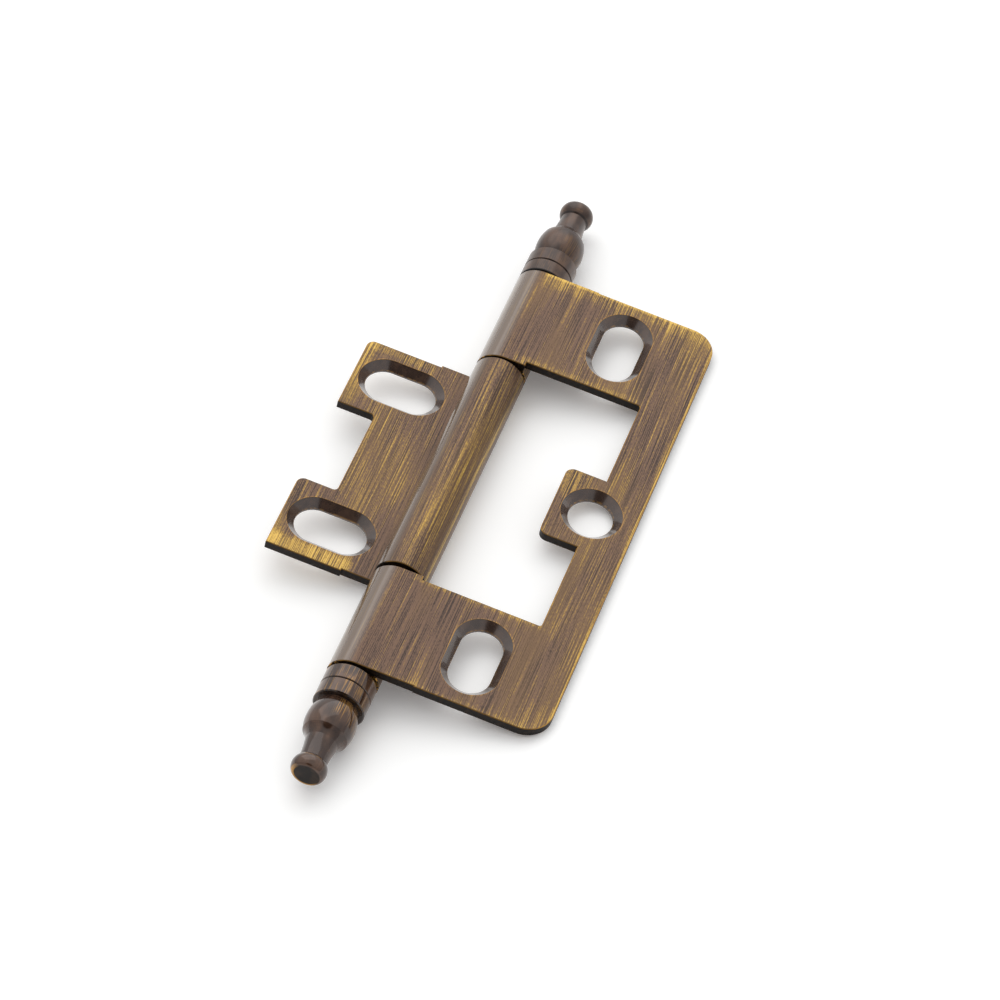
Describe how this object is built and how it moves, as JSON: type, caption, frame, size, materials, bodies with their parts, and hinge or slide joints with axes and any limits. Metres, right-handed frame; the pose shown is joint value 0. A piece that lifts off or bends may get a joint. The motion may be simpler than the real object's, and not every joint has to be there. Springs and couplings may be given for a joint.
{
  "type": "non-mortise hinge",
  "caption": "Surface-fixed cabinet hinge whose small leaf folds into the window of the large one, with countersunk slots and turned finials on the pin.",
  "frame": {"origin": "centre of the large leaf's two slots, on its mounting face", "axes": "+Z out of the leaf towards the screw heads, +Y along the pin, +X from the pin towards the large leaf's outer edge"},
  "size_m": [0.0447, 0.1098, 0.0072],
  "materials": {
    "brushed_antique_brass": "dark antiqued brass sheet, brushed along the pin so that gold shows through, then lacquered",
    "turned_antique_brass": "dark antiqued turned brass, glossy under clear lacquer",
    "pin_brass": "plain drawn rod, dull"
  },
  "bodies": {
    "outer": {"outer_leaf": "brushed_antique_brass", "hinge_pin": "pin_brass", "upper_finial": "turned_antique_brass", "lower_finial": "turned_antique_brass"},
    "inner": {"inner_leaf": "brushed_antique_brass"}
  },
  "joints": [
    {"name": "leaf_turn", "type": "hinge", "parent": "outer", "child": "inner", "pos_m": [-0.0138, 0, -0.0022], "axis": [0, 1, 0], "range_deg": [-90, 180]}
  ]
}
